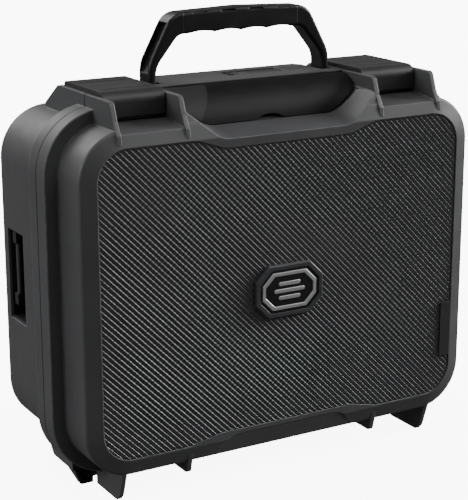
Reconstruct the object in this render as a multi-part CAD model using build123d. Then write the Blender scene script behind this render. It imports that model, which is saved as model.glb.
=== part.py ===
from build123d import *
import os

# A hard carry case with electronic lock, standing upright on its hinge side, handle up.
# Millimetres. +Z is up, -Y is the lid's front, X runs along the handle.
# The origin is on the surface the case stands on, in the middle of its width and depth.

# ---- Driving dimensions -------------------------------------------------------------
front_y = -82.0                 # front face of the lid
lid_depth = 61.5                # lid front to parting plane
base_depth = 103.5              # parting plane to back of the base
middle_z = 173.3                # mid height of the two shells
parting_gap = 0.25              # each shell stops this far short of the parting plane

lid_half = (192.0, 147.0)       # half width and half height of the lid's wall
lid_corner = 42.0
frame_rise = 4.8                # depth of the sloped frame round the lid's panel
frame_width = 14.0
flange_half = (203.7, 158.3)    # rim that both shells carry at the parting plane
flange_corner = 53.7
lid_flange_depth = 16.2
base_flange_depth = 14.5
base_half = (196.0, 146.0)
base_corner = 45.0
base_flare = 6.0                # concave radius between base rim and base wall
base_back_round = 9.0

panel_half_width = 177.0
panel_low, panel_high = 42.0, 305.5
panel_dip = 8.8                 # how far the panel's top edge drops in the middle
panel_lift = 6.4                # how far its bottom edge rises in the middle
panel_thickness = 2.0
panel_corner = 27.0

ear_thickness = 4.0
ear_inner_x = 93.3              # inner face of the inner ears
ear_outer_x = 154.8             # inner face of the outer ears
ear_top = 341.5
strip_top = 341.5
strip_half = 80.5

handle_front, handle_depth = 78.0, 21.0
handle_half = 90.7
handle_inner_half = 83.4
handle_top = 401.5
handle_pivot = (88.5, 331.5)    # distance behind the lid's front, height
grip_half = 57.0

latch_pivot = (104.0, 334.5)
latch_top = 345.0
catch_bar_at = (44.0, 321.3)    # half sunk in the floor under each latch
catch_bar_radius = 2.2
bolt_at = (52.0, 327.0)
bolt_radius = 2.2
actuator_radius = 4.4

cover_half = 91.0
cover_hinge = (55.6, 335.2)
cover_lug_radius = 2.1
cover_pin_radius = 1.1
cover_wall = 2.2
cover_curve = 36.0
deck_half = 62.0
deck_middle = (41.5, 321.5)     # centre of the sloped keypad deck

hinge_height = 7.0
hinge_radius = 6.7
hinge_pin_radius = 2.5

pin_clearance = 0.06            # radial, at every pin that something turns on

foot_x = 157.0                  # middle of the lid's outer feet
strap_pocket = (114.0, 148.0, 133.5, 215.0)   # depth from, depth to, low, high
strap_pocket_depth = 14.5
strap_bar_x = 191.0
strap_bar_distance = 137.0
strap_lug_at = (152.5, 208.0)   # middle heights of the two lugs that carry a strap bar
strap_lug_half = 5.0


def back(distance):
    """Y of a place this far behind the lid's front face."""
    return front_y + distance


def flat_shape(points, rounds=None):
    """A closed outline in a local plane, with chosen corners rounded: {corner number: radius}."""
    shape = Sketch() + make_face(Polyline(*points, close=True))
    for corner, radius in (rounds or {}).items():
        target = Vector(points[corner][0], points[corner][1], 0)
        nearest = min(shape.vertices(), key=lambda v: (Vector(*v) - target).length)
        shape = fillet(nearest, radius)
    return shape


def side_slab(points, x_from, x_to, rounds=None):
    """An outline of (distance behind the front, height), extruded from x_from to x_to."""
    moved = [(back(distance), height) for distance, height in points]
    face = Plane.YZ.offset(x_from) * flat_shape(moved, rounds)
    return extrude(face, amount=x_to - x_from, dir=(1, 0, 0))


def front_slab(points, near, far, rounds=None):
    """An outline of (x, height), extruded from near to far behind the lid's front."""
    face = Plane.XZ.offset(-back(near)) * flat_shape(points, rounds)
    return extrude(face, amount=far - near, dir=(0, 1, 0))


def outline(half, corner, distance, mid=middle_z):
    """A rounded rectangle facing forwards, at a distance behind the lid's front."""
    return Plane.XZ.offset(-back(distance)) * Pos(0, mid) * RectangleRounded(2 * half[0], 2 * half[1], corner)


def ring_slab(half, corner, near, far, mid=middle_z):
    """A rounded rectangle extruded from near to far."""
    return extrude(outline(half, corner, near, mid), amount=far - near, dir=(0, 1, 0))


def block(x_from, x_to, near, far, low, high):
    """A plain box between two x, two distances behind the front and two heights."""
    size = (x_to - x_from, far - near, high - low)
    return Pos((x_from + x_to) / 2, back((near + far) / 2), (low + high) / 2) * Box(*size)


def rod_x(radius, at, x_from, x_to):
    """A round rod along X, centred at (distance behind the front, height)."""
    middle = Pos((x_from + x_to) / 2, back(at[0]), at[1])
    return middle * Rot(0, 90, 0) * Cylinder(radius, abs(x_to - x_from))


def rod_z(radius, x, distance, low, high):
    """A round rod along Z."""
    return Pos(x, back(distance), (low + high) / 2) * Cylinder(radius, high - low)


def top_slab(points, low, high):
    """An outline of (x, distance behind the front), extruded from low to high."""
    moved = [(x, back(distance)) for x, distance in points]
    return extrude(Plane.XY.offset(low) * flat_shape(moved), amount=high - low, dir=(0, 0, 1))


def other_side(shape):
    """The same shape on the other side of the case."""
    return mirror(shape, about=Plane.YZ)


def both(shape):
    """A shape and its mirror image."""
    return shape + other_side(shape)


def edges_at(shape, distance, slack=0.02):
    """Edges that lie wholly in the plane at this distance behind the lid's front."""
    y = back(distance)
    chosen = []
    for edge in shape.edges():
        box = edge.bounding_box()
        if abs(box.min.Y - y) < slack and abs(box.max.Y - y) < slack:
            chosen.append(edge)
    return chosen


def trough(half_floor, floor, half_top, shoulder, ceiling):
    """Outline of a shallow trough: flat floor, sloping sides up to a shoulder, then straight up."""
    return [
        (-half_floor, floor), (half_floor, floor), (half_top, shoulder), (half_top, ceiling),
        (-half_top, ceiling), (-half_top, shoulder),
    ]


# ---- Lid ----------------------------------------------------------------------------
def panel_outline(margin):
    """Face outline of the textured panel, grown by margin, with the dips above and below."""
    side = panel_half_width + margin
    low, high = panel_low - margin, panel_high + margin
    points = [
        (-side, low), (-97, low), (-67, low + panel_lift), (67, low + panel_lift), (97, low), (side, low),
        (side, high), (88, high), (62, high - panel_dip), (-62, high - panel_dip), (-88, high), (-side, high),
    ]
    bends = {1: 25, 2: 25, 3: 25, 4: 25, 7: 18, 8: 18, 9: 18, 10: 18}
    corners = {corner: panel_corner + margin for corner in (0, 5, 6, 11)}
    return points, {**bends, **corners}


def texture_panel():
    points, rounds = panel_outline(0)
    return front_slab(points, 0.3, 0.3 + panel_thickness, rounds)


lid_end = lid_depth - parting_gap
base_start = lid_depth + parting_gap
lid_ear = [(2, 308), (9, 328.2), (14, ear_top), (lid_end, ear_top), (lid_end, 300), (2, 300)]
scoop_floor, scoop_half = 306.0, 64.0


def lid_shell():
    wall = (lid_half[0] - frame_width, lid_half[1] - frame_width)
    front_edge = outline(wall, lid_corner - frame_width, 0)
    frame = loft([front_edge, outline(lid_half, lid_corner, frame_rise)], ruled=True)
    shell = frame + ring_slab(lid_half, lid_corner, frame_rise, lid_end)
    shell = fillet(edges_at(shell, frame_rise), 3.0)
    rim = ring_slab(flange_half, flange_corner, lid_end - lid_flange_depth, lid_end)
    rim = chamfer(edges_at(rim, lid_end - lid_flange_depth), 0.8)
    shell += rim

    # hood between the inner ears, whose front leans back with the ears
    hood = [(1.5, 300), (1.5, 308), (9, 328.2), (11, 329), (lid_end, 331), (lid_end, 300)]
    shell += side_slab(hood, -ear_inner_x, ear_inner_x, {2: 2.0})

    # latch pockets, cut down to a gently sloped floor, then the ears beside them
    pocket = [(-5, 315.2), (34, 321), (lid_depth + 1, 321), (lid_depth + 1, 360), (-5, 360)]
    shell -= both(side_slab(pocket, ear_inner_x, ear_outer_x + ear_thickness))
    for inner_face in (ear_inner_x, ear_outer_x):
        shell += both(side_slab(lid_ear, inner_face, inner_face + ear_thickness, {1: 6, 2: 5}))

    # inside, panel recess, scoop in front of the control unit, chamber for the unit
    shell -= ring_slab((186, 133.5), 36, 5.4, lid_depth + 1, 166.0)
    points, rounds = panel_outline(0.25)
    shell -= front_slab(points, -1, 0.3 + panel_thickness, rounds)
    shell -= scoop_cut()
    shell -= front_slab(trough(58, 303.5, 91.5, 328, 360), 28.5, 57.3, {0: 8, 1: 8})
    shell -= block(-91.5, 91.5, 57.2, lid_depth + 1, 331, 360)
    shell -= low_scoop_cut()

    shell += lid_feet()
    shell += both(lid_knuckle())
    shell -= both(rod_x(hinge_pin_radius + pin_clearance, (lid_depth, hinge_height), 112, 143))
    shell -= both(rod_x(bolt_radius + 0.3, bolt_at, 84, ear_inner_x + ear_thickness + 1))
    bar_hole = catch_bar_radius + 0.02
    shell -= both(rod_x(bar_hole, catch_bar_at, ear_inner_x + 1.5, ear_outer_x + 2.5))
    for x in (-45, 45):
        shell -= rod_z(1.7, x, 46, 295, 305)
    for x in (29, 41):
        shell -= rod_z(1.7, x, 56, 296, 302)
    return shell


def scoop_cut():
    """The space over the sloping floor in front of the control unit."""
    shape = trough(scoop_half, 0, 97.0, 24.0, 60)
    near = Plane.XZ.offset(-back(-8)) * Pos(0, scoop_floor - 3.2) * flat_shape(shape, {0: 25, 1: 25})
    far = Plane.XZ.offset(-back(28.6)) * Pos(0, scoop_floor + 5.1) * flat_shape(shape, {0: 25, 1: 25})
    return loft([near, far], ruled=True) & block(-ear_inner_x, ear_inner_x, -8, 28.6, 290, 360)


def low_scoop_cut():
    """The shallow thumb scoop in the middle of the lid's lower frame."""
    wedge = [(-3, 45.5), (0, 45.5), (4.6, 26.3), (4.6, 20), (-3, 20)]
    ends = [(-76, 20), (-58, 44), (58, 44), (76, 20)]
    return side_slab(wedge, -80, 80) & front_slab(ends, -4, 12, {1: 20, 2: 20})


def lid_feet():
    """Two deep outer feet that the case stands on, and two short inner ribs."""
    outer = [(3, 34), (3, 33), (12, 6), (17.5, 0), (57.5, 0), (57.5, 40), (3, 40)]
    inner = [(2, 36), (2, 34), (6.5, 15), (lid_end - 5, 15), (lid_end - 5, 40), (2, 40)]
    half = ear_thickness / 2
    foot = side_slab(outer, foot_x - half, foot_x + half, {2: 8, 3: 4})
    rib = side_slab(inner, ear_inner_x, ear_inner_x + ear_thickness, {2: 4})
    inside = ring_slab((186, 133.5), 36, 5.4, lid_depth + 1, 166.0)
    return both(foot) + both(rib) - inside


def lid_knuckle():
    """The lid's middle knuckle on one hinge, with its web up to the lid's rim."""
    web = [
        (44, 16), (lid_depth - 5.5, hinge_height), (lid_depth, hinge_height),
        (lid_end, 13), (lid_end, 20), (44, 20),
    ]
    barrel = rod_x(hinge_radius, (lid_depth, hinge_height), 114, 141)
    return barrel + side_slab(web, 114, 141)


# ---- Base ---------------------------------------------------------------------------
base_end = lid_depth + base_depth
base_inside = (186.0, 140.0)


def base_shell():
    rim_end = base_start + base_flange_depth
    shell = ring_slab(flange_half, flange_corner, base_start, rim_end)
    shell += ring_slab(base_half, base_corner, rim_end, base_end)
    shell = fillet([edge for edge in edges_at(shell, rim_end) if inside_rim(edge)], base_flare)
    shell = fillet(edges_at(shell, base_end), base_back_round)

    # raised strip between the ears, with a crossbar in front of the handle's legs
    strip = [(base_start, 310), (base_start, strip_top), (118, strip_top), (124, 336), (124, 310)]
    shell += side_slab(strip, -strip_half, strip_half, {2: 4, 3: 3})
    strip_corner = [(80.6, 109), (90, 109), (90, 127), (69.2, 127)]
    shell -= both(top_slab(strip_corner, base_half[1] + middle_z + 0.2, 360))
    crossbar = [(base_start, 310), (base_start, strip_top), (76.6, strip_top), (76.6, 310)]
    shell += side_slab(crossbar, -ear_inner_x, ear_inner_x, {1: 0.8, 2: 2})

    # room for the latches and for the handle's legs to swing back
    shell -= both(block(ear_inner_x, ear_outer_x + ear_thickness, lid_depth, 90, 323.5, 360))
    shell -= both(block(strip_half + 1.5, ear_inner_x, 76.6, 90, 320.2, 360))
    ear = [(base_start, 305), (base_start, ear_top), (115, ear_top), (142.6, 322.6), (142.6, 305)]
    for inner_face in (ear_inner_x, ear_outer_x):
        shell += both(side_slab(ear, inner_face, inner_face + ear_thickness, {2: 8}))

    shell -= ring_slab(base_inside, 34, lid_depth - 1, base_end - 4.5)
    shell -= seal_ring(4.2, base_start - 1, base_start + 3.2)
    shell += both(block(179, 186.5, 110, 152, 129, 219.5))
    low, high = strap_pocket[2], strap_pocket[3]
    pocket = block(base_half[0] - strap_pocket_depth, 200, strap_pocket[0], strap_pocket[1], low, high)
    shell -= both(pocket)

    shell += both(base_foot())
    shell += both(back_foot())
    shell += both(base_knuckles())
    shell -= both(rod_x(hinge_pin_radius + 0.02, (lid_depth, hinge_height), 102, 153))
    shell -= both(rod_x(2.02, latch_pivot, ear_inner_x + 1.2, ear_outer_x + 2.8))
    shell -= both(rod_x(3.02, handle_pivot, 74, ear_inner_x + 2.5))
    shell -= port_well()
    return shell


def inside_rim(edge):
    """True for the edges of the base wall's foot, not the rim's own outer edge."""
    box = edge.bounding_box()
    wide = max(abs(box.min.X), abs(box.max.X)) > base_half[0] + 1
    tall = max(abs(box.min.Z - middle_z), abs(box.max.Z - middle_z)) > base_half[1] + 1
    return not wide and not tall


def seal_ring(width, near, far):
    """A rectangular ring between the two shells' rims."""
    half = width / 2
    outer = ring_slab((194.5 + half, 145 + half), 44 + half, near, far)
    return outer - ring_slab((194.5 - half, 145 - half), 44 - half, near - 1, far + 1)


def base_foot():
    """A corner foot beside the hinge: a tapered box open to the front, a fin and a side web."""
    tapered = [(179.5, 24), (179.5, 18), (172.5, 0), (160.5, 0), (160.5, 24)]
    foot = front_slab(tapered, base_start, 82, {1: 3, 2: 2})
    foot &= side_slab([(base_start, 0), (66, 0), (80, 13), (82, 24), (base_start, 24)], 150, 190)
    pocket = [(176.5, 15), (170.3, 2.6), (161.5, 2.6), (161.5, 14.6)]
    sloped_back = [(base_start - 1, 2), (66, 2), (77.3, 13.5), (77.8, 17), (base_start - 1, 17)]
    foot -= front_slab(pocket, base_start - 1, 80) & side_slab(sloped_back, 150, 190)
    foot += block(150.5, 161, 71.5, 74.5, 0.8, 24)
    fin = side_slab([(base_start, 34), (base_start, 14.5), (103, 14.5), (116, 30), (116, 36)], 176, 179.5, {2: 6})
    solid_rim = ring_slab((186, 140), 34, base_start - 1, base_end)
    return foot + fin - solid_rim


def back_foot():
    """A broad foot near the back, which keeps the case from tipping backwards."""
    side = [(112, 0), (152, 0), (158, 10), (158, 34), (106, 34), (106, 10)]
    foot = side_slab(side, 122, 156, {0: 4, 1: 4})
    hollow = block(126, 152, 112, 152, -1, 22)
    return foot - hollow - ring_slab(base_inside, 34, base_start, base_end - 4.5)


def base_knuckles():
    """The base's two knuckles on one hinge, with their webs up to the base's rim."""
    web = [
        (lid_depth, hinge_height), (lid_depth + 5.5, hinge_height), (78, 16),
        (78, 20), (base_start, 20), (base_start, 13),
    ]
    knuckles = []
    for x_from, x_to in ((101, 113.4), (141.6, 154)):
        barrel = rod_x(hinge_radius, (lid_depth, hinge_height), x_from, x_to)
        knuckles.append(barrel + side_slab(web, x_from, x_to))
    return knuckles[0] + knuckles[1]


# window, slide track and well under the small sliding door on the strip
door_window = (-9.0, 48.0, 83.0, 104.0)
door_top, door_thickness = 340.6, 2.0


def port_well():
    window = block(door_window[0], door_window[1], door_window[2], door_window[3], door_top - 1, strip_top + 1)
    track = block(-9, 78.5, 81.2, 105.8, door_top - door_thickness - 0.15, door_top + 0.15)
    well = block(-8.5, 34, 84, 103, 322, door_top)
    barrel_hole = rod_z(8.02, 14, 93.5, 300, 330)
    return window + track + well + barrel_hole


def port_door():
    """Sliding door with a finger notch in its left end."""
    door = block(-3, 50, 81.5, 105.5, door_top - door_thickness, door_top)
    door -= rod_z(9, -8.5, 93.5, 330, 345)
    for x in (6, 9, 12):
        door += block(x, x + 1.2, 87, 100, door_top - 0.5, door_top + 0.5)
    return door


def lock_barrel():
    """Fixed barrel of the override key lock, in a hole down into the case."""
    barrel = rod_z(8, 14, 93.5, 309.5, 330.5) + rod_z(9.2, 14, 93.5, 322, 324)
    return barrel - rod_z(5.06, 14, 93.5, 300, 340)


def lock_plug():
    """Turning plug with keyway and the cam that locks the lid's strike."""
    plug = rod_z(5, 14, 93.5, 308.5, 331.2)
    plug -= Pos(14, back(93.5), 329) * Box(1.4, 6, 8)
    cam = block(9, 19, 76, 98.5, 303.5, 306.5)
    return plug + cam + rod_z(5, 14, 93.5, 303.5, 309)


def lid_strike():
    """Steel strike on the lid that the lock's cam reaches into."""
    outer = [(50, 299.4), (50, 297), (104, 297), (104, 309), (70, 309), (62.8, 299.4)]
    plate = side_slab(outer, 27, 29, {3: 3, 4: 3})
    window = block(20, 35, 79.8, 99.2, 303.1, 306.9)
    tab = block(27, 44, 50, 60, 297.5, 299.4)
    return plate - window + tab - rod_z(1.7, 41, 56, 290, 305)


# ---- Foam, seal and hinges ----------------------------------------------------------
def lid_foam():
    pad = ring_slab((184, 131.5), 34, 6, lid_end - 1.2, 166.0)
    return pad - block(20, 50, 44, lid_depth, 292, 305)


foam_pockets = ((-166, -66, 58, 284), (-46, 66, 170, 284), (-46, 66, 58, 150), (86, 166, 58, 284))


def base_foam():
    pad = ring_slab((181.5, 138), 32, lid_depth + 1, base_end - 5, middle_z)
    for x_from, x_to, low, high in foam_pockets:
        pocket = block(x_from, x_to, lid_depth, 140, low, high)
        pad -= fillet(pocket.edges().filter_by(Axis.Y), 8)
    pad -= both(block(178.5, 185, 109, 153, 128, 221))
    return pad - block(0, 52, lid_depth, 118, 292, 320)


def hinge_pins():
    return both(rod_x(hinge_pin_radius, (lid_depth, hinge_height), 102.5, 152.5))


def latch_pins():
    return both(rod_x(2.0, latch_pivot, ear_inner_x + 1.5, ear_outer_x + 2.5))


def catch_bars():
    return both(rod_x(catch_bar_radius, catch_bar_at, ear_inner_x + 1.8, ear_outer_x + 2.2))


def handle_pins():
    return both(rod_x(3.0, handle_pivot, 75, ear_inner_x + 2.2))


def strap_anchor():
    """Moulded insert in the side pocket: a thin tray with two lugs for the strap bar."""
    near, far, low, high = strap_pocket
    floor_x = base_half[0] - strap_pocket_depth
    tray = block(floor_x, base_half[0] - 1.5, near, far, low, high)
    tray -= block(floor_x + 1.5, 200, near + 1.5, far - 1.5, low + 1.5, high - 1.5)
    lug_near, lug_far = strap_bar_distance - 3.6, strap_bar_distance + 3.6
    for height in strap_lug_at:
        tray += block(floor_x, 194.6, lug_near, lug_far, height - strap_lug_half, height + strap_lug_half)
    return tray - rod_z(2.02, strap_bar_x, strap_bar_distance, 149, 211.5)


def strap_bar():
    """A round bar with thinner ends held in the two lugs."""
    low = strap_lug_at[0] + strap_lug_half + 0.1
    high = strap_lug_at[1] - strap_lug_half - 0.1
    ends = rod_z(2.0, strap_bar_x, strap_bar_distance, 149.3, 211.2)
    return ends + rod_z(2.5, strap_bar_x, strap_bar_distance, low, high)


def corner_pads():
    """Four rubber pads on the back, for when the case lies flat."""
    pads = None
    for x in (-150, 150):
        for height in (70, 277):
            pad = Pos(x, back(base_end + 1), height) * Rot(90, 0, 0) * Cylinder(11, 2)
            pads = pad if pads is None else pads + pad
    return pads


# ---- Handle -------------------------------------------------------------------------
def handle_body():
    """The whole handle before it is divided into frame and grip."""
    top_mid = handle_top
    outer = [
        (-handle_half, 321), (-handle_half, 357), (-67.8, 399.3), (0, top_mid), (67.8, 399.3),
        (handle_half, 357), (handle_half, 321),
    ]
    inner = [
        (-handle_inner_half, 300), (-handle_inner_half, 354.2), (-61.5, 381.2), (61.5, 381.2),
        (handle_inner_half, 354.2), (handle_inner_half, 300),
    ]
    far = handle_front + handle_depth
    arch = front_slab(outer, handle_front, far, {1: 30, 2: 18, 4: 18, 5: 30})
    arch -= front_slab(inner, handle_front - 1, far + 1, {1: 20, 2: 12, 3: 12, 4: 20})
    radius = handle_depth / 2
    centre, height = handle_pivot
    above = [
        (centre - radius, height), (centre + radius, height),
        (centre + radius, 410), (centre - radius, 410),
    ]
    side = side_slab(above, -100, 100)
    side += rod_x(radius, handle_pivot, -100, 100)
    return arch & side


def finger_scallops():
    """Four shallow finger hollows under the grip."""
    pitch, sagitta = 26.0, 1.9
    radius = (pitch * pitch / 4 + sagitta * sagitta) / (2 * sagitta)
    hollows = None
    for step in (-1.5, -0.5, 0.5, 1.5):
        x = step * pitch
        tube = Pos(x, back(88.5), 381.2 + sagitta - radius) * Rot(90, 0, 0) * Cylinder(radius, 30)
        hollow = tube & block(x - pitch / 2, x + pitch / 2, 70, 107, 370, 390)
        hollows = hollow if hollows is None else hollows + hollow
    return hollows


def handle_parts():
    """The stiff frame and the soft grip moulded round its middle."""
    body = handle_body()
    body = fillet(body.edges().filter_by(on_handle_face), 3.0)
    body -= finger_scallops()
    for side in (-1, 1):
        groove = [(side * 96, 350), (side * 89.2, 350), (side * 67.8, 389), (side * 75, 393)]
        body -= front_slab(groove, 81.5, 95.5)
    grip_zone = block(-grip_half, grip_half, 70, 107, 370, 410)
    spine = block(-grip_half - 1, grip_half + 1, 81.5, 95.5, 386.5, 410)
    grip = (body & grip_zone) - spine
    frame = body - grip
    for x in (-41.5, -13.5, 14.5, 42.5):
        slot = block(x - 6.8, x + 6.8, handle_front - 1, handle_front + 1.4, 398.2, 400)
        grip -= slot
    frame -= both(rod_x(3.0 + pin_clearance, handle_pivot, 80, 94))
    return frame, grip


def on_handle_face(edge):
    """True for edges on the handle's front or back face."""
    box = edge.bounding_box()
    faces = (back(handle_front), back(handle_front + handle_depth))
    return any(abs(box.min.Y - y) < 0.01 and abs(box.max.Y - y) < 0.01 for y in faces)


# ---- Latches ------------------------------------------------------------------------
latch_from, latch_to = ear_inner_x + ear_thickness + 1.0, ear_outer_x - 1.0


def latch_lever():
    side = [
        (35, 324.2), (35, latch_top), (112.5, latch_top), (112.5, 334.5), (104, 328.5), (97, 334.5),
        (78, 334.5), (58, 322.3), (52, 322.3), (50, 324.2),
    ]
    lever = side_slab(side, latch_from, latch_to, {1: 9.0, 2: 3.0})
    lever += rod_x(6.0, latch_pivot, latch_from, latch_to)
    inside = [(38.2, 318), (38.2, latch_top - 3.2), (96, latch_top - 3.2), (96, 318)]
    lever -= side_slab(inside, latch_from + 3.2, latch_to - 3.2, {1: 2.5})
    for distance in (53, 73, 92):
        middle = (latch_from + latch_to) / 2
        lever -= block(middle - 22, middle + 22, distance - 0.8, distance + 0.8, latch_top - 1.2, latch_top + 1)
    lever -= rod_x(2.0 + pin_clearance, latch_pivot, latch_from - 1, latch_to + 1)
    return lever - rod_x(bolt_radius + 0.3, bolt_at, latch_from - 1, latch_from + 4)


def latch_hook():
    """Steel hook inside the lever whose nose comes down just in front of the lid's catch bar.

    The nose stops 0.4 above the bar's top, so the rigid lid can swing out under it.
    """
    front = catch_bar_at[0] - catch_bar_radius - 0.3
    ceiling = latch_top - 3.2
    nose = catch_bar_at[1] + catch_bar_radius + 0.4
    side = [
        (front - 2, nose), (front, nose), (front, ceiling - 2), (74, ceiling - 2), (74, ceiling),
        (front, ceiling), (front - 2, ceiling - 2),
    ]
    hook = side_slab(side, 111, 141)
    for x in (118, 134):
        hook -= rod_z(1.6, x, 66, 330, 345)
    return hook


# ---- Control unit -------------------------------------------------------------------
deck_plane = Plane(origin=(0, back(deck_middle[0]), deck_middle[1]), x_dir=(1, 0, 0), z_dir=(0, -1, 1))
key_places = (-26.0, -8.0, 10.0, 28.0, 46.0)
light_at = (-36.5, 8.4)
sensor_x = -47.0


def on_deck(x, y, z, shape):
    """A shape placed on the keypad deck: x along the case, y up the slope, z out of the deck."""
    return deck_plane * Pos(x, y, z) * shape


def control_housing():
    whole = front_slab(trough(57.5, 304, 88.4, 326.6, 345), 30.2, 57.0, {0: 7, 1: 7})
    wing = [
        (30.2, 300), (57, 300), (57, 329.5), (53.5, 333), (47.5, 331.5), (41.5, 325.5), (35, 314.5),
        (33, 311.4), (30.2, 311.4),
    ]
    deck = [(30.2, 300), (57, 300), (57, 330.8), (50.8, 330.8), (31.5, 311.5), (30.2, 311.5)]
    middle = side_slab(deck, -deck_half, deck_half)
    wings = both(side_slab(wing, deck_half, 95))
    housing = whole & (middle + wings)
    for x in (-78, -24, 24, 78):
        lug = rod_x(cover_lug_radius, cover_hinge, x - 3, x + 3)
        lug += side_slab([(53.6, 328), (56.9, 328), (57.6, 335.6), (53.6, 335.6)], x - 3, x + 3)
        housing += lug
    room = [(36.5, 306), (54.5, 306), (54.5, 328), (52.5, 328), (36.5, 312)]
    housing -= side_slab(room, -56, 56)
    housing -= on_deck(0, 0, -1.0, Box(121, 25, 2.02))
    housing -= on_deck(0, 0, -4, Box(112, 18.5, 8))
    housing -= both(rod_x(actuator_radius + 0.1, bolt_at, deck_half, 80.3))
    housing -= both(rod_x(bolt_radius + 0.3, bolt_at, 80, 95))
    for x in (-45, 45):
        housing -= rod_z(1.4, x, 46, 300, 305.9)
    return housing - rod_x(cover_pin_radius + 0.02, cover_hinge, -86, 86)


def keypad_plate():
    plate = on_deck(0, 0, -1.0, Box(120.6, 24.6, 2.0))
    for x in key_places:
        plate -= on_deck(x, -1, -1, Box(15.6, 11.6, 3))
    plate -= on_deck(sensor_x, 0, -1, Cylinder(8.6, 3))
    return plate - on_deck(light_at[0], light_at[1], -1, Cylinder(1.6, 3))


def keypad_key(x):
    """One key: a rounded cap through the plate, and a lip that keeps it in."""
    cap = Box(15.0, 11.0, 3.6)
    cap = fillet(cap.edges().filter_by(Axis.Z), 2.0)
    cap = fillet(cap.faces().sort_by(Axis.Z)[-1].edges(), 0.6)
    key = on_deck(x, -1, -0.4, cap)
    return key + on_deck(x, -1, -2.8, Box(17.0, 13.0, 1.2))


def fingerprint_sensor():
    ring = Cylinder(8.5, 3.4) - Pos(0, 0, 1.4) * Cylinder(6.6, 1.2)
    return on_deck(sensor_x, 0, -1.2, ring)


def status_light():
    return on_deck(light_at[0], light_at[1], -0.9, Cylinder(1.5, 2.2))


def circuit_board():
    board = on_deck(4, 0, -7.0, Box(104, 17, 1.6))
    for x in key_places:
        board += on_deck(x, -1, -5.6, Box(5, 5, 1.2))
    return board


def battery_pack():
    cells = None
    for x in (-26, 26):
        cell = rod_x(4.6, (49.5, 311), x - 24, x + 24)
        cells = cell if cells is None else cells + cell
    return cells


def lock_actuator():
    body = rod_x(actuator_radius, bolt_at, deck_half + 0.3, 80)
    return body - rod_x(bolt_radius + pin_clearance, bolt_at, deck_half + 4, 82)


def lock_bolt():
    return chamfer(rod_x(bolt_radius, bolt_at, 70, 96.5).edges().filter_by(GeomType.CIRCLE), 0.4)


def keypad_cover():
    """Curved flip cover with closed ends, cut corners and a finger notch in its lower edge."""
    skin = [(58.4, 311), (58.4, 341.2), (35.3, 334.6), (28.9, 311)]
    hollow = [(62, 305), (62, 339.94), (37.08, 332.82), (29.5, 305)]
    cover = side_slab(skin, -cover_half, cover_half, {1: 2.0, 2: cover_curve})
    cover -= side_slab(hollow, cover_wall - cover_half, cover_half - cover_wall, {2: cover_curve - cover_wall})
    cover -= block(-cover_half - 1, cover_half + 1, 47, 62, 300, 335)
    cover &= front_slab(trough(62, 311.6, cover_half, 329.2, 345), 20, 62, {0: 9, 1: 9})
    cover -= Pos(0, back(28), 291.1) * Rot(90, 0, 0) * Cylinder(24.5, 14)
    low = cover_hinge[1]
    for x in (-71, -31, 31, 71):
        cover += rod_x(cover_lug_radius, cover_hinge, x - 3, x + 3)
        cover += side_slab([(53.8, low), (57.4, low), (57.4, 339), (53.8, 338.6)], x - 3, x + 3)
    return cover - rod_x(cover_pin_radius + pin_clearance, cover_hinge, -90, 90)


def cover_hinge_pin():
    return rod_x(cover_pin_radius, cover_hinge, -84, 84)


def control_screws():
    """Three screws: one through the strike, two up through the lid into the control unit."""
    screws = rod_z(1.6, 41, 56, 295.5, 301.8) + rod_z(3, 41, 56, 295.5, 297.4)
    for x in (-45, 45):
        screws += rod_z(1.3, x, 46, 297.5, 305.5) + rod_z(3, x, 46, 297.5, 299.4)
    return screws


# ---- Badge and tab on the lid's front -----------------------------------------------
badge_z = 167.2


def badge_outline(grow):
    """A plain eight-sided badge outline."""
    half_w, half_h, cut = 33.9 + grow, 23.4 + grow, 13.0 + grow * 0.4
    return [
        (-half_w, badge_z - half_h + cut), (-half_w + cut, badge_z - half_h), (half_w - cut, badge_z - half_h),
        (half_w, badge_z - half_h + cut), (half_w, badge_z + half_h - cut), (half_w - cut, badge_z + half_h),
        (-half_w + cut, badge_z + half_h), (-half_w, badge_z + half_h - cut),
    ]


def badge_bezel():
    bezel = front_slab(badge_outline(0), -3.0, 0.3)
    bezel = chamfer(edges_at(bezel, -3.0), 1.0)
    return bezel - front_slab(badge_outline(-4.2), -4, -1.0)


def badge_plate():
    plate = front_slab(badge_outline(-4.4), -2.2, -1.0)
    return chamfer(edges_at(plate, -2.2), 0.6)


def side_tab():
    tab = front_slab([(165.5, 76.5), (176.5, 76.5), (176.5, 128.8), (165.5, 128.8)], -0.9, 0.3,
                     {0: 1.5, 1: 1.5, 2: 1.5, 3: 1.5})
    return tab


# ---- Output -------------------------------------------------------------------------
def write(name, shape):
    export_step(Compound(children=list(shape.solids())), os.path.join("parts", name + ".step"))


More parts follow.
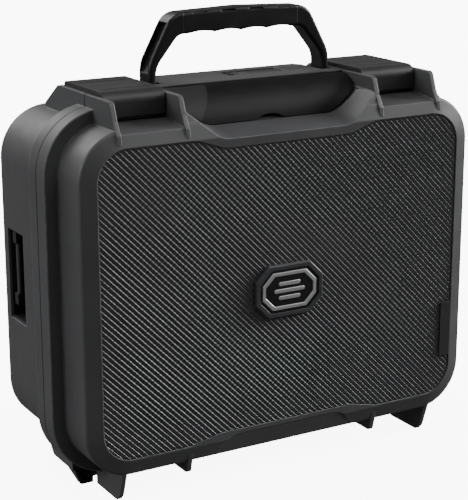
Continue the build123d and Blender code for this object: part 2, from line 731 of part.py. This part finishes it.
def main():
    os.makedirs("parts", exist_ok=True)
    frame, grip = handle_parts()
    lever, hook = latch_lever(), latch_hook()
    anchor, bar, bolt = strap_anchor(), strap_bar(), lock_bolt()
    nodes = {
        "lid_shell": lid_shell(),
        "texture_panel": texture_panel(),
        "badge_bezel": badge_bezel(),
        "badge_plate": badge_plate(),
        "side_tab": side_tab(),
        "lid_foam": lid_foam(),
        "lid_strike": lid_strike(),
        "catch_bars": catch_bars(),
        "control_housing": control_housing(),
        "keypad_plate": keypad_plate(),
        "fingerprint_sensor": fingerprint_sensor(),
        "status_light": status_light(),
        "circuit_board": circuit_board(),
        "battery_pack": battery_pack(),
        "lock_actuators": both(lock_actuator()),
        "cover_hinge_pin": cover_hinge_pin(),
        "control_screws": control_screws(),
        "keypad_cover": keypad_cover(),
        "lock_bolt_right": bolt,
        "lock_bolt_left": other_side(bolt),
        "base_shell": base_shell(),
        "base_foam": base_foam(),
        "seal_ring": seal_ring(3.8, lid_end + 0.05, base_start + 3.2),
        "hinge_pins": hinge_pins(),
        "latch_pins": latch_pins(),
        "handle_pins": handle_pins(),
        "strap_anchor_right": anchor,
        "strap_anchor_left": other_side(anchor),
        "strap_bar_right": bar,
        "strap_bar_left": other_side(bar),
        "corner_pads": corner_pads(),
        "port_door": port_door(),
        "lock_barrel": lock_barrel(),
        "lock_plug": lock_plug(),
        "latch_lever_right": lever,
        "latch_lever_left": other_side(lever),
        "latch_hook_right": hook,
        "latch_hook_left": other_side(hook),
        "handle_frame": frame,
        "handle_grip": grip,
    }
    for number, x in enumerate(key_places, start=1):
        nodes["key_%d" % number] = keypad_key(x)
    for name, shape in nodes.items():
        write(name, shape)


main()
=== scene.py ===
import math

import bmesh
import bpy
from mathutils import Matrix, Vector
from mathutils.bvhtree import BVHTree
from mathutils.geometry import tessellate_polygon


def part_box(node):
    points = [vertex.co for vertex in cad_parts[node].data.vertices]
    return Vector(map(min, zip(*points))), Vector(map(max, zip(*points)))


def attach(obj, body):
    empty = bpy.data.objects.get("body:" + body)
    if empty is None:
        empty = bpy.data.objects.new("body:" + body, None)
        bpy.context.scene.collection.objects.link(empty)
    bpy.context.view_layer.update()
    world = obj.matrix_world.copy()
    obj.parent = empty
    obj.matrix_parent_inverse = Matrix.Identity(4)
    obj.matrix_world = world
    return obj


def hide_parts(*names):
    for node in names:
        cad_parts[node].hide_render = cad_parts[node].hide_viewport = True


# Looks for the hard carry case. Metres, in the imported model's own frame: +Z up, -Y out of the lid's front.
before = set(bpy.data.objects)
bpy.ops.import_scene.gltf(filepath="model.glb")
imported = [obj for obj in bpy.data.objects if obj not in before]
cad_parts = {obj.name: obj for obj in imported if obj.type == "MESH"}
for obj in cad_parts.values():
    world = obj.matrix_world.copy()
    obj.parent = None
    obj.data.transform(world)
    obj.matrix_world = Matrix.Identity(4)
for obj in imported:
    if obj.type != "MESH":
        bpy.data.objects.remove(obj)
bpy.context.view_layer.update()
MM = 0.001


# ---- Node helpers -------------------------------------------------------------------
def new_material(name):
    """An empty node material with its output and principled shader joined."""
    material = bpy.data.materials.new(name)
    material.use_nodes = True
    tree = material.node_tree
    tree.nodes.clear()
    out = tree.nodes.new("ShaderNodeOutputMaterial")
    shader = tree.nodes.new("ShaderNodeBsdfPrincipled")
    tree.links.new(shader.outputs[0], out.inputs[0])
    return material, tree, shader


def add(tree, kind, **inputs):
    """A node with some of its input sockets set by name."""
    node = tree.nodes.new(kind)
    for name, value in inputs.items():
        node.inputs[name.replace("_", " ")].default_value = value
    return node


def object_point(tree, stretch=(1, 1, 1)):
    """Object coordinates in metres, stretched if wanted."""
    coords = tree.nodes.new("ShaderNodeTexCoord")
    mapping = add(tree, "ShaderNodeMapping", Scale=stretch)
    tree.links.new(coords.outputs["Object"], mapping.inputs["Vector"])
    return mapping.outputs[0]


def noise(tree, point, scale, detail=2.0, roughness=0.5):
    node = add(tree, "ShaderNodeTexNoise", Scale=scale, Detail=detail, Roughness=roughness)
    tree.links.new(point, node.inputs["Vector"])
    return node.outputs["Fac"]


def remap(tree, value, low, high, to_low, to_high):
    node = add(tree, "ShaderNodeMapRange", From_Min=low, From_Max=high, To_Min=to_low, To_Max=to_high)
    tree.links.new(value, node.inputs["Value"])
    return node.outputs["Result"]


def math_node(tree, operation, first, second):
    node = tree.nodes.new("ShaderNodeMath")
    node.operation = operation
    for socket, value in zip(node.inputs, (first, second)):
        if isinstance(value, (int, float)):
            socket.default_value = value
        else:
            tree.links.new(value, socket)
    return node.outputs[0]


def mix_colors(tree, factor, first, second):
    """Mixes two colours, each a tuple or a socket, by a factor that is a number or a socket."""
    node = tree.nodes.new("ShaderNodeMix")
    node.data_type = "RGBA"
    for socket, value in ((node.inputs[0], factor), (node.inputs[6], first), (node.inputs[7], second)):
        if isinstance(value, bpy.types.NodeSocket):
            tree.links.new(value, socket)
        elif isinstance(value, tuple):
            socket.default_value = (*value, 1.0)
        else:
            socket.default_value = value
    return node.outputs[2]


def rounded_normal(tree, radius):
    """A normal rounded over sharp edges, and a mask that is 1 on those edges."""
    bevel = tree.nodes.new("ShaderNodeBevel")
    bevel.samples = 4
    bevel.inputs["Radius"].default_value = radius
    geometry = tree.nodes.new("ShaderNodeNewGeometry")
    dot = tree.nodes.new("ShaderNodeVectorMath")
    dot.operation = "DOT_PRODUCT"
    tree.links.new(bevel.outputs[0], dot.inputs[0])
    tree.links.new(geometry.outputs["Normal"], dot.inputs[1])
    return bevel.outputs[0], remap(tree, dot.outputs["Value"], 0.995, 0.86, 0.0, 1.0)


def bump(tree, height, distance, normal=None, strength=1.0):
    node = add(tree, "ShaderNodeBump", Strength=strength, Distance=distance)
    tree.links.new(height, node.inputs["Height"])
    if normal is not None:
        tree.links.new(normal, node.inputs["Normal"])
    return node.outputs[0]


def moulded(
    name, color, rough, grain=1400.0, depth=0.00005, edge=0.0008, edge_gain=1.6, specular=0.5, coat=0.0
):
    """Moulded plastic or rubber: fine grain, uneven tone, softly rounded edges, lightened partly as wear and
    partly as a painted highlight.
    """
    material, tree, shader = new_material(name)
    point = object_point(tree)
    normal, edges = rounded_normal(tree, edge)
    tone = remap(tree, noise(tree, point, 22.0, 3.0), 0.3, 0.7, 0.0, 1.0)
    dark = tuple(part * 0.93 for part in color)
    light = tuple(min(1.0, part * 1.07) for part in color)
    body = mix_colors(tree, tone, dark, light)
    scuffs = remap(tree, noise(tree, point, 130.0, 4.0, 0.65), 0.42, 0.62, 0.35, 1.0)
    # Edges lightened by edge_gain: partly rubbed wear, partly a painted highlight along the sharp edges.
    worn_and_highlit = tuple(min(1.0, part * edge_gain) for part in color)
    body = mix_colors(tree, math_node(tree, "MULTIPLY", edges, scuffs), body, worn_and_highlit)
    tree.links.new(body, shader.inputs["Base Color"])
    patchy = remap(tree, noise(tree, point, 60.0, 3.0), 0.3, 0.7, rough - 0.05, rough + 0.06)
    tree.links.new(patchy, shader.inputs["Roughness"])
    shader.inputs["Specular IOR Level"].default_value = specular
    shader.inputs["Coat Weight"].default_value = coat
    shader.inputs["Coat Roughness"].default_value = 0.2
    grainy = noise(tree, point, grain, 2.0, 0.6)
    tree.links.new(bump(tree, grainy, depth, normal), shader.inputs["Normal"])
    return material


def metal(name, color, rough, stretch=(1, 1, 1), scale=900.0):
    """Machined or brushed metal, with streaks along the unstretched direction."""
    material, tree, shader = new_material(name)
    point = object_point(tree, stretch)
    normal, edges = rounded_normal(tree, 0.0004)
    streaks = noise(tree, point, scale, 3.0, 0.6)
    shade = remap(tree, streaks, 0.3, 0.7, 0.0, 1.0)
    body = mix_colors(tree, shade, tuple(part * 0.82 for part in color), color)
    body = mix_colors(tree, edges, body, tuple(min(1.0, part * 1.25) for part in color))
    tree.links.new(body, shader.inputs["Base Color"])
    tree.links.new(remap(tree, streaks, 0.3, 0.7, rough - 0.08, rough + 0.1), shader.inputs["Roughness"])
    shader.inputs["Metallic"].default_value = 1.0
    tree.links.new(bump(tree, streaks, 0.00002, normal), shader.inputs["Normal"])
    return material


def open_cell_foam(name, color):
    """Open cell foam: pores of two sizes and a soft sheen."""
    material, tree, shader = new_material(name)
    point = object_point(tree)
    cells = add(tree, "ShaderNodeTexVoronoi", Scale=900.0)
    tree.links.new(point, cells.inputs["Vector"])
    pores = remap(tree, cells.outputs["Distance"], 0.0, 0.6, 0.0, 1.0)
    clumps = noise(tree, point, 260.0, 4.0, 0.6)
    tone = math_node(tree, "MULTIPLY", pores, remap(tree, clumps, 0.3, 0.7, 0.55, 1.0))
    # The pores are coloured down to a third of the foam's grey: painted shade in the holes.
    body = mix_colors(tree, tone, tuple(part * 0.35 for part in color), color)
    tree.links.new(body, shader.inputs["Base Color"])
    shader.inputs["Roughness"].default_value = 0.95
    shader.inputs["Sheen Weight"].default_value = 0.25
    shader.inputs["Specular IOR Level"].default_value = 0.2
    tree.links.new(bump(tree, tone, 0.0005), shader.inputs["Normal"])
    return material


def color_over(material, factor, color):
    """Lays a colour over the material's own, where the factor says."""
    tree = material.node_tree
    shader = next(node for node in tree.nodes if node.type == "BSDF_PRINCIPLED")
    before = shader.inputs["Base Color"].links[0].from_socket
    tree.links.new(mix_colors(tree, factor, before, color), shader.inputs["Base Color"])


def split_point(tree):
    """A node that gives the object coordinates one by one."""
    split = tree.nodes.new("ShaderNodeSeparateXYZ")
    tree.links.new(object_point(tree), split.inputs[0])
    return split


def sectioned_cover(name, color, light):
    """The flip cover's satin black, with a lighter zone left of a slanted border."""
    material = moulded(name, color, 0.45, 1800.0, 0.00002, 0.0007, 1.8, 0.15)
    tree = material.node_tree
    split = split_point(tree)
    low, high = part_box("keypad_cover")
    border_top, border_low = -50 * MM, -70 * MM
    slope = (border_top - border_low) / (high.z - low.z)
    height = math_node(tree, "SUBTRACT", split.outputs["Z"], low.z)
    border = math_node(tree, "MULTIPLY_ADD", height, slope)
    border.node.inputs[2].default_value = border_low
    past = math_node(tree, "SUBTRACT", border, split.outputs["X"])
    blur = 0.15 * MM
    color_over(material, remap(tree, past, -blur, blur, 0.0, 1.0), light)
    return material


def seamed_case(name, color, dark):
    """The shells' moulded grey, with painted shade going near black where lid and base meet."""
    material = moulded(name, color, 0.48, 1500.0, 0.00005, 0.0012, 3.6, 0.4)
    tree = material.node_tree
    seam_behind_seal = 0.2 * MM
    full_seam_shade, no_seam_shade = 0.65 * MM, 0.95 * MM
    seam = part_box("seal_ring")[0].y + seam_behind_seal
    offset = math_node(tree, "SUBTRACT", split_point(tree).outputs["Y"], seam)
    away = math_node(tree, "ABSOLUTE", offset, 0.0)
    # Painted shade: near the parting line the grey gives way to the dark colour, standing in for the shadow
    # in the gap.
    color_over(material, remap(tree, away, full_seam_shade, no_seam_shade, 1.0, 0.0), dark)
    return material


def status_glow(name):
    """Clear green light pipe."""
    material, tree, shader = new_material(name)
    point = object_point(tree)
    body = mix_colors(tree, noise(tree, point, 900.0), (0.1, 0.35, 0.14), (0.2, 0.6, 0.28))
    tree.links.new(body, shader.inputs["Base Color"])
    shader.inputs["Roughness"].default_value = 0.15
    shader.inputs["Coat Weight"].default_value = 0.6
    return material


def circuit(name):
    """Solder mask with copper tracks showing through as a faint brick pattern."""
    material, tree, shader = new_material(name)
    point = object_point(tree)
    tracks = add(tree, "ShaderNodeTexBrick", Scale=260.0, Mortar_Size=0.06)
    tracks.inputs["Color1"].default_value = (0.012, 0.075, 0.03, 1)
    tracks.inputs["Color2"].default_value = (0.015, 0.095, 0.04, 1)
    tracks.inputs["Mortar"].default_value = (0.05, 0.16, 0.06, 1)
    tree.links.new(point, tracks.inputs["Vector"])
    tree.links.new(tracks.outputs["Color"], shader.inputs["Base Color"])
    shader.inputs["Roughness"].default_value = 0.35
    return material


# ---- Materials ----------------------------------------------------------------------
GREY = (0.045, 0.0455, 0.0475)

looks = {
    # The near-black third colour is painted shade along the parting line.
    "case": seamed_case("case_grey", GREY, (0.004, 0.004, 0.004)),
    "panel": moulded("panel_black", (0.032, 0.0325, 0.0345), 0.44, 2500.0, 0.00001, 0.00008, 1.6, 0.6),
    "rim": moulded("badge_rim", (0.030, 0.0305, 0.033), 0.30, 1800.0, 0.00002, 0.0007, 3.0, 0.6),
    "badge": metal("badge_face", (0.050, 0.050, 0.052), 0.36, (1, 1, 14), 500.0),
    "emblem": metal("emblem_steel", (0.60, 0.60, 0.61), 0.40, (14, 1, 1), 500.0),
    "rubber": moulded("soft_rubber", (0.016, 0.016, 0.0165), 0.72, 900.0, 0.00006, 0.0006, 1.3, 0.25),
    "grip": moulded("grip_rubber", (0.0070, 0.0070, 0.0074), 0.42, 1100.0, 0.00003, 0.0016, 1.3, 0.22),
    "handle": moulded("handle_black", (0.0070, 0.0070, 0.0074), 0.36, 1500.0, 0.00003, 0.0012, 3.5, 0.24),
    "latch": moulded("latch_black", (0.0180, 0.0180, 0.0187), 0.42, 1500.0, 0.00003, 0.0004, 3.0, 0.34),
    "unit": moulded("unit_black", (0.0140, 0.0140, 0.0150), 0.48, 1500.0, 0.00004, 0.0006, 1.6, 0.35),
    "door": moulded("door_grey", (0.034, 0.0345, 0.036), 0.50, 1500.0, 0.00004, 0.0006, 1.8, 0.35),
    "gloss": moulded("gloss_black", (0.006, 0.006, 0.007), 0.12, 1800.0, 0.000005, 0.0004, 1.6, 0.5, 0.5),
    "key": moulded("key_rubber", (0.060, 0.060, 0.063), 0.55, 1500.0, 0.00003, 0.0006, 1.3, 0.3),
    "white": moulded("key_print", (0.75, 0.75, 0.76), 0.5, 1500.0, 0.00001, 0.0002, 1.05, 0.3),
    "battery": moulded("battery_sleeve", (0.05, 0.07, 0.12), 0.28, 900.0, 0.00001, 0.0004, 1.2, 0.5, 0.4),
    "steel": metal("plain_steel", (0.56, 0.565, 0.58), 0.32),
    "dark_steel": metal("blackened_steel", (0.120, 0.120, 0.124), 0.40),
    "brass": metal("plug_brass", (0.78, 0.60, 0.30), 0.28),
    "cover": sectioned_cover("cover_black", (0.0050, 0.0050, 0.0053), (0.0185, 0.0185, 0.0192)),
    "light": status_glow("status_green"),
    "board": circuit("circuit_green"),
    "foam": open_cell_foam("grey_foam", (0.045, 0.046, 0.05)),
}

node_looks = {
    "case": ("lid_shell", "base_shell"),
    "rim": ("badge_bezel",),
    "badge": ("badge_plate",),
    "rubber": ("side_tab", "seal_ring", "corner_pads"),
    "steel": (
        "lid_strike", "lock_actuators", "cover_hinge_pin", "control_screws", "lock_bolt_right",
        "lock_bolt_left", "hinge_pins", "latch_pins", "handle_pins", "lock_barrel",
    ),
    "dark_steel": ("catch_bars", "strap_bar_right", "strap_bar_left", "latch_hook_right", "latch_hook_left"),
    "unit": ("control_housing", "strap_anchor_right", "strap_anchor_left"),
    "door": ("port_door",),
    "gloss": ("keypad_plate", "fingerprint_sensor"),
    "light": ("status_light",),
    "board": ("circuit_board",),
    "battery": ("battery_pack",),
    "cover": ("keypad_cover",),
    "brass": ("lock_plug",),
    "latch": ("latch_lever_right", "latch_lever_left"),
    "handle": ("handle_frame",),
    "grip": ("handle_grip",),
    "key": tuple("key_%d" % number for number in range(1, 6)),
}


def paint(piece, look):
    piece.data.materials.clear()
    piece.data.materials.append(looks[look])


def paint_cad_nodes():
    for look, names in node_looks.items():
        for name in names:
            paint(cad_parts[name], look)


# ---- Mesh helpers -------------------------------------------------------------------
def piece_from(name, mesh, look):
    piece = bpy.data.objects.new(name, mesh)
    bpy.context.scene.collection.objects.link(piece)
    paint(piece, look)
    return piece


def mesh_from(name, vertices, faces):
    mesh = bpy.data.meshes.new(name)
    mesh.from_pydata([tuple(v) for v in vertices], [], faces)
    mesh.update()
    return mesh


def front_outline(node):
    """The (x, z) outline of a CAD plate's front face, in order, read from its mesh."""
    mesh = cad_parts[node].data
    front = min(v.co.y for v in mesh.vertices)
    key = lambda v: (round(v.co.x, 6), round(v.co.z, 6))
    used = {}
    for polygon in mesh.polygons:
        if all(abs(mesh.vertices[i].co.y - front) < 1e-6 for i in polygon.vertices):
            corners = [key(mesh.vertices[i]) for i in polygon.vertices]
            for a, b in zip(corners, corners[1:] + corners[:1]):
                used[frozenset((a, b))] = used.get(frozenset((a, b)), 0) + 1
    neighbours = {}
    for pair, count in used.items():
        if count == 1 and len(pair) == 2:
            a, b = tuple(pair)
            neighbours.setdefault(a, []).append(b)
            neighbours.setdefault(b, []).append(a)
    start = min(neighbours)
    loop, last, here = [start], None, start
    while True:
        onward = [n for n in neighbours[here] if n != last]
        last, here = here, onward[0]
        if here == start:
            return loop
        loop.append(here)


def inside(point, loop):
    x, z = point
    hit = False
    for (x1, z1), (x2, z2) in zip(loop, loop[1:] + loop[:1]):
        if (z1 > z) != (z2 > z) and x < (x2 - x1) * (z - z1) / (z2 - z1) + x1:
            hit = not hit
    return hit


def nearest_on(point, loop):
    """The nearest point of the outline, and its distance."""
    best, best_gap = None, 1e9
    p = Vector(point)
    for a, b in zip(loop, loop[1:] + loop[:1]):
        a, b = Vector(a), Vector(b)
        along = max(0.0, min(1.0, (p - a).dot(b - a) / max((b - a).length_squared, 1e-12)))
        q = a + (b - a) * along
        if (p - q).length < best_gap:
            best, best_gap = q, (p - q).length
    return best, best_gap


# ---- Textured panel -----------------------------------------------------------------
STUD_PITCH = 3.87 * MM        # along both diagonals
STUD_RISE = 0.90 * MM
EDGE_MARGIN = 0.2 * MM        # how far the studs keep from the panel's outline
OVERHANG = 0.4                # part of a stud's reach that its middle may lie outside the outline
# From the foot up: half length along the falling diagonal, then where the lower and the upper side lie
# across it, each followed by its depth behind the panel's front.
STUD_LEVELS = (
    (1.80 * MM, -1.80 * MM, STUD_RISE + 0.10 * MM, 1.74 * MM, STUD_RISE + 0.10 * MM),
    (1.82 * MM, -1.76 * MM, 0.72 * MM, 1.66 * MM, 0.36 * MM),
    (1.62 * MM, -1.44 * MM, 0.54 * MM, 1.27 * MM, 0.0),
)


def textured_panel():
    """A plate with rows of diamond studs, each rising to a crest near its upper right side."""
    low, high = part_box("texture_panel")
    loop = front_outline("texture_panel")
    face_y, top_y = low.y + STUD_RISE, low.y
    vertices, faces = [], []

    ring = [Vector((x, face_y, z)) for x, z in loop]
    vertices += ring + [Vector((v.x, high.y, v.z)) for v in ring]
    count = len(ring)
    for triangle in tessellate_polygon([ring]):
        faces.append(tuple(triangle))
        faces.append(tuple(i + count for i in reversed(triangle)))
    for i in range(count):
        j = (i + 1) % count
        faces.append((i, j, j + count, i + count))

    seats = [octagon("badge_bezel", 1.0 * MM), octagon("side_tab", 0.5 * MM, 0.0)]
    step = STUD_PITCH / math.sqrt(2)
    columns = int((high.x - low.x) / step) + 2
    rows = int((high.z - low.z) / step) + 2
    reach = STUD_LEVELS[0][0] * math.sqrt(2)
    for row in range(rows):
        for column in range(columns):
            if (row + column) % 2:
                continue
            centre = (low.x + column * step, low.z + row * step)
            gap = nearest_on(centre, loop)[1]
            if not inside(centre, loop) and gap > OVERHANG * reach:
                continue
            if any(inside(centre, seat) for seat in seats):
                continue
            add_stud(vertices, faces, centre, top_y, loop if gap < reach + 0.3 * MM else None)
    panel = piece_from("diamond_panel", mesh_from("diamond_panel", vertices, faces), "panel")
    fix_normals(panel)
    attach(panel, "lid")
    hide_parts("texture_panel")
    return panel


def add_stud(vertices, faces, centre, top_y, loop):
    """One crested diamond stud, pressed inside the outline where one is given."""
    start = len(vertices)
    for half, lower, lower_depth, upper, upper_depth in STUD_LEVELS:
        corners = ((half, upper), (-half, upper), (-half, lower), (half, lower))
        depths = (upper_depth, upper_depth, lower_depth, lower_depth)
        for (along, across), depth in zip(corners, depths):
            x = centre[0] + (along + across) / math.sqrt(2)
            z = centre[1] + (across - along) / math.sqrt(2)
            if loop is not None and (not inside((x, z), loop) or nearest_on((x, z), loop)[1] < EDGE_MARGIN):
                edge_point = nearest_on((x, z), loop)[0]
                inward = Vector(centre) - edge_point
                if inward.length < 1e-6:
                    inward = Vector((0.0, 1.0))
                x, z = edge_point + inward.normalized() * EDGE_MARGIN
            vertices.append(Vector((x, top_y + depth, z)))
    for low in (start, start + 4):
        for side in range(4):
            after = (side + 1) % 4
            faces.append((low + side, low + after, low + 4 + after, low + 4 + side))
    faces.append((start + 8, start + 9, start + 10, start + 11))


def fix_normals(piece):
    work = bmesh.new()
    work.from_mesh(piece.data)
    bmesh.ops.recalc_face_normals(work, faces=work.faces)
    work.to_mesh(piece.data)
    work.free()


# ---- Fins below the ears --------------------------------------------------------------
EAR_THICKNESS = 4.0 * MM
EAR_FACES = (93.3 * MM, 154.8 * MM)          # inner faces of the ears, from the middle of the case
FIN_HEIGHTS = (326.0 * MM, 316.0 * MM, 308.0 * MM)
FIN_RISE = 1.4 * MM
FIN_CLEARANCE = 0.05 * MM                    # keeps the fins' sides inside the ears' sides


def ear_fins():
    """Fins that carry the front of the lid's four ears down over the frame, to a point."""
    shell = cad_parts["lid_shell"].data
    shell_faces = [tuple(face.vertices) for face in shell.polygons]
    surface = BVHTree.FromPolygons([vertex.co for vertex in shell.vertices], shell_faces)
    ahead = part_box("lid_shell")[0].y - 10 * MM
    top, middle, tip = FIN_HEIGHTS
    vertices, faces = [], []
    for side in (-1, 1):
        for face in EAR_FACES:
            near = side * (face + FIN_CLEARANCE)
            far = side * (face + EAR_THICKNESS - FIN_CLEARANCE)
            start = Vector(((near + far) / 2, ahead, 0))
            front = {}
            for height in FIN_HEIGHTS:
                start.z = height
                front[height] = surface.ray_cast(start, Vector((0, 1, 0)))[0].y
            profile = [
                (front[top], top), (front[middle] - FIN_RISE, middle), (front[tip], tip),
                (front[tip] + 2 * MM, tip), (front[middle] + 4 * MM, middle), (front[top] + 2 * MM, top),
            ]
            count, first = len(profile), len(vertices)
            for x in (near, far):
                vertices += [Vector((x, y, z)) for y, z in profile]
            for i in range(count):
                j = (i + 1) % count
                faces.append((first + i, first + j, first + count + j, first + count + i))
            faces.append(tuple(range(first, first + count)))
            faces.append(tuple(range(first + count, first + 2 * count)))
    fins = piece_from("ear_fins", mesh_from("ear_fins", vertices, faces), "case")
    fix_normals(fins)
    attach(fins, "lid")


# ---- Badge and key digits -----------------------------------------------------------
def eight_corners(low_x, high_x, low_z, high_z, corner):
    """A rectangle's outline with its corners cut off, anticlockwise from the lower left."""
    return [
        (low_x, low_z + corner), (low_x + corner, low_z),
        (high_x - corner, low_z), (high_x, low_z + corner),
        (high_x, high_z - corner), (high_x - corner, high_z),
        (low_x + corner, high_z), (low_x, high_z - corner),
    ]


def octagon(node, inset, cut=0.38):
    """An eight-sided outline in a node's front view; cut is the part of the half width cut off a corner."""
    low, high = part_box(node)
    low_x, high_x = low.x + inset, high.x - inset
    low_z, high_z = low.z + inset, high.z - inset
    corner = cut * (high_x - low_x) / 2
    return eight_corners(low_x, high_x, low_z, high_z, corner)


def bar(x, z, half_width, half_height):
    """The outline of a level bar with cut corners."""
    corner = 0.6 * half_height
    return eight_corners(x - half_width, x + half_width, z - half_height, z + half_height, corner)


def rings_piece(name, rings, look, closed):
    """A closed solid through rings of (outline, y); closed joins the last ring to the first."""
    vertices, faces = [], []
    count = len(rings[0][0])
    for outline, y in rings:
        vertices += [Vector((x, y, z)) for x, z in outline]
    last = len(rings) if closed else len(rings) - 1
    for ring in range(last):
        a, b = ring * count, (ring + 1) % len(rings) * count
        for i in range(count):
            j = (i + 1) % count
            faces.append((a + i, a + j, b + j, b + i))
    if not closed:
        faces.append(tuple(range(count)))
        faces.append(tuple(range(len(vertices) - count, len(vertices))))
    piece = piece_from(name, mesh_from(name, vertices, faces), look)
    fix_normals(piece)
    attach(piece, "lid")
    return piece


def badge_detail():
    """A plain steel border and three level bars, raised on the badge's face."""
    low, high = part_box("badge_plate")
    foot, top, slant = low.y + 0.1 * MM, low.y - 0.65 * MM, 0.45 * MM
    outer, width = 2.2 * MM, 3.6 * MM
    rings_piece("badge_border", [
        (octagon("badge_plate", outer), foot),
        (octagon("badge_plate", outer + slant), top),
        (octagon("badge_plate", outer + width - slant), top),
        (octagon("badge_plate", outer + width), foot),
    ], "emblem", True)
    middle_x, middle_z = (low.x + high.x) / 2, (low.z + high.z) / 2
    pitch, half_height = 6.2 * MM, 1.9 * MM
    short, long = 11.0 * MM, 15.5 * MM
    for name, rise, half in (("upper", pitch, short), ("middle", 0.0, long), ("lower", -pitch, short)):
        z = middle_z + rise
        rings_piece("badge_bar_" + name, [
            (bar(middle_x, z, half, half_height), foot),
            (bar(middle_x, z, half - slant, half_height - slant), top),
        ], "emblem", False)


def key_digits():
    """The numbers 1 to 5, raised on the keys."""
    outward = Vector((0, -1, 1)).normalized()
    upward = Vector((0, 1, 1)).normalized()
    for number in range(1, 6):
        node = "key_%d" % number
        points = [v.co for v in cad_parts[node].data.vertices]
        reach = max(point.dot(outward) for point in points)
        face = [point for point in points if point.dot(outward) > reach - 0.01 * MM]
        middle = sum(face, Vector()) / len(face)
        curve = bpy.data.curves.new("digit", "FONT")
        curve.body = str(number)
        curve.size = 9.0 * MM
        curve.extrude = 0.1 * MM
        curve.align_x, curve.align_y = "CENTER", "CENTER"
        writing = bpy.data.objects.new("digit", curve)
        bpy.context.scene.collection.objects.link(writing)
        bpy.context.view_layer.update()
        mesh = bpy.data.meshes.new_from_object(writing)
        bpy.data.objects.remove(writing)
        turn = Matrix((Vector((1, 0, 0)), upward, outward)).transposed().to_4x4()
        mesh.transform(Matrix.Translation(middle) @ turn)
        digit = piece_from("digit_%d" % number, mesh, "white")
        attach(digit, node)


# ---- Foam ---------------------------------------------------------------------------
def softened_copy(name, node, voxel):
    """A copy of a CAD foam block, remeshed and smoothed so that its edges are soft."""
    piece = piece_from(name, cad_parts[node].data.copy(), "foam")
    remesh = piece.modifiers.new("remesh", "REMESH")
    remesh.mode = "VOXEL"
    remesh.voxel_size = voxel
    smooth = piece.modifiers.new("smooth", "SMOOTH")
    smooth.factor, smooth.iterations = 0.5, 3
    graph = bpy.context.evaluated_depsgraph_get()
    mesh = bpy.data.meshes.new_from_object(piece.evaluated_get(graph))
    piece.modifiers.clear()
    piece.data = mesh
    for polygon in mesh.polygons:
        polygon.use_smooth = True
    paint(piece, "foam")
    return piece


def lid_foam():
    """Convoluted foam in the lid, with rows of soft peaks towards the base."""
    low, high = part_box("lid_foam")
    piece = softened_copy("convoluted_foam", "lid_foam", 3.0 * MM)
    pitch, depth, border = 34 * MM, 17 * MM, 16 * MM
    for vertex in piece.data.vertices:
        co = vertex.co
        if co.y < high.y - 2 * MM or vertex.normal.y < 0.5:
            continue
        edge = min(co.x - low.x, high.x - co.x, co.z - low.z, high.z - co.z)
        fade = max(0.0, min(1.0, (edge - 4 * MM) / border))
        wave = 0.5 + 0.25 * (math.cos(2 * math.pi * co.x / pitch) + math.cos(2 * math.pi * co.z / pitch))
        co.y -= depth * fade * (1 - wave)
    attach(piece, "lid")
    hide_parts("lid_foam")


def base_foam():
    """Firm foam in the base with rounded pockets."""
    piece = softened_copy("pocket_foam", "base_foam", 3.0 * MM)
    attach(piece, "base")
    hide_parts("base_foam")


# ---- Camera, light and floor --------------------------------------------------------
def make_camera():
    """The camera, at the height, distance and turn that show the left side, the front and the top."""
    data = bpy.data.cameras.new("camera")
    data.lens, data.sensor_width = 108.0, 36.0
    data.clip_start, data.clip_end = 0.05, 30.0
    camera = bpy.data.objects.new("camera", data)
    camera.location = (-0.6600, -1.1275, 0.5438)
    target = Vector((-0.0539, -0.0820, 0.2096))
    roll = math.radians(-0.116)
    look = (target - camera.location).to_track_quat("-Z", "Y").to_matrix()
    camera.rotation_euler = (look @ Matrix.Rotation(roll, 3, "Z")).to_euler()
    bpy.context.scene.collection.objects.link(camera)
    bpy.context.scene.camera = camera


def sun(name, towards, strength, spread):
    """A distant soft light, given by the direction towards it and the angle it fills, in degrees."""
    data = bpy.data.lights.new(name, "SUN")
    data.energy = strength
    data.angle = math.radians(spread)
    light = bpy.data.objects.new(name, data)
    light.rotation_euler = Vector(towards).to_track_quat("Z", "Y").to_euler()
    bpy.context.scene.collection.objects.link(light)


def make_stage():
    reach = 9.0
    corners = [(-reach, -reach, 0), (reach, -reach, 0), (reach, reach, 0), (-reach, reach, 0)]
    floor = piece_from("floor", mesh_from("floor", corners, [(0, 1, 2, 3)]), "case")
    material, tree, shader = new_material("floor_white")
    shade = noise(tree, object_point(tree), 3.0)
    pale = mix_colors(tree, shade, (0.90, 0.90, 0.90), (0.92, 0.92, 0.92))
    tree.links.new(pale, shader.inputs["Base Color"])
    shader.inputs["Roughness"].default_value = 0.8
    shader.inputs["Emission Color"].default_value = (1, 1, 1, 1)
    shader.inputs["Emission Strength"].default_value = 8.0
    floor.data.materials.clear()
    floor.data.materials.append(material)
    floor.visible_diffuse = False       # the pale floor throws no light back up onto the dark case
    floor.visible_glossy = False

    world = bpy.data.worlds.new("studio")
    world.use_nodes = True
    world.node_tree.nodes["Background"].inputs["Color"].default_value = (1, 1, 1, 1)
    world.node_tree.nodes["Background"].inputs["Strength"].default_value = 0.15
    bpy.context.scene.world = world

    sun("key_right", (0.92, -0.18, 0.34), 5.4, 28.0)
    sun("front_high", (0.15, -0.60, 0.78), 1.5, 50.0)
    sun("rear_high", (-0.25, 0.70, 0.65), 2.4, 40.0)
    sun("left", (-0.92, 0.14, 0.36), 2.1, 40.0)


def main():
    make_camera()
    make_stage()
    paint_cad_nodes()
    textured_panel()
    ear_fins()
    badge_detail()
    key_digits()
    lid_foam()
    base_foam()


main()
